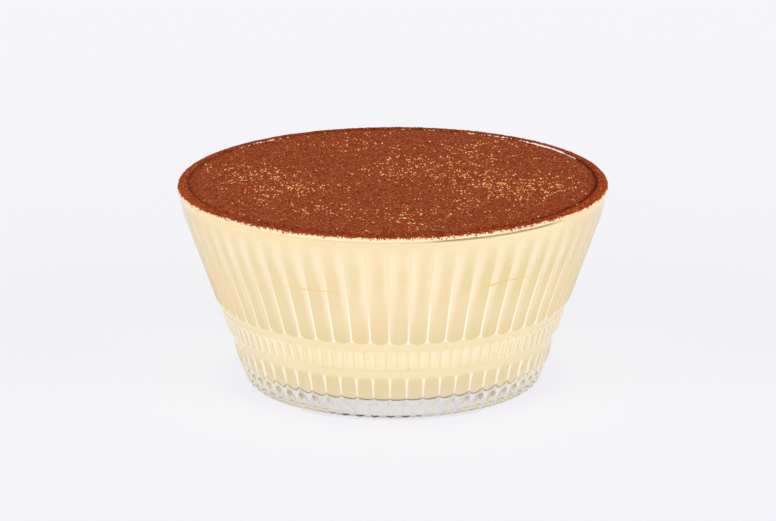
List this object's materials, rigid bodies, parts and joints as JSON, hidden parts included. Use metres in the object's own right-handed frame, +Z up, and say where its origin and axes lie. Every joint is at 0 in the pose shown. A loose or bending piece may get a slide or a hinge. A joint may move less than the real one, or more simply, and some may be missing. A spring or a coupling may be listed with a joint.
{
  "type": "tiramisu",
  "caption": "Tiramisu dessert in a round pressed-glass bowl with fluted sides, filled to the rim with mascarpone cream and dusted with cocoa.",
  "frame": {"origin": "centre of the bowl's foot, on the surface that the bowl stands on", "axes": "+Z up along the axis of the bowl, -Y towards the side that is seen first; the bowl is round, so X and Y are otherwise free"},
  "size_m": [0.15, 0.15, 0.0712],
  "materials": {
    "clear_glass": "clear pressed glass with fire-polished flutes and rim",
    "mascarpone_cream": "smooth pale yellow mascarpone cream, soft sheen",
    "cocoa_powder": "fine sifted cocoa powder, fully matt and grainy"
  },
  "bodies": {
    "root": {"bowl": "clear_glass", "cream": "mascarpone_cream", "cocoa": "cocoa_powder"}
  },
  "joints": []
}
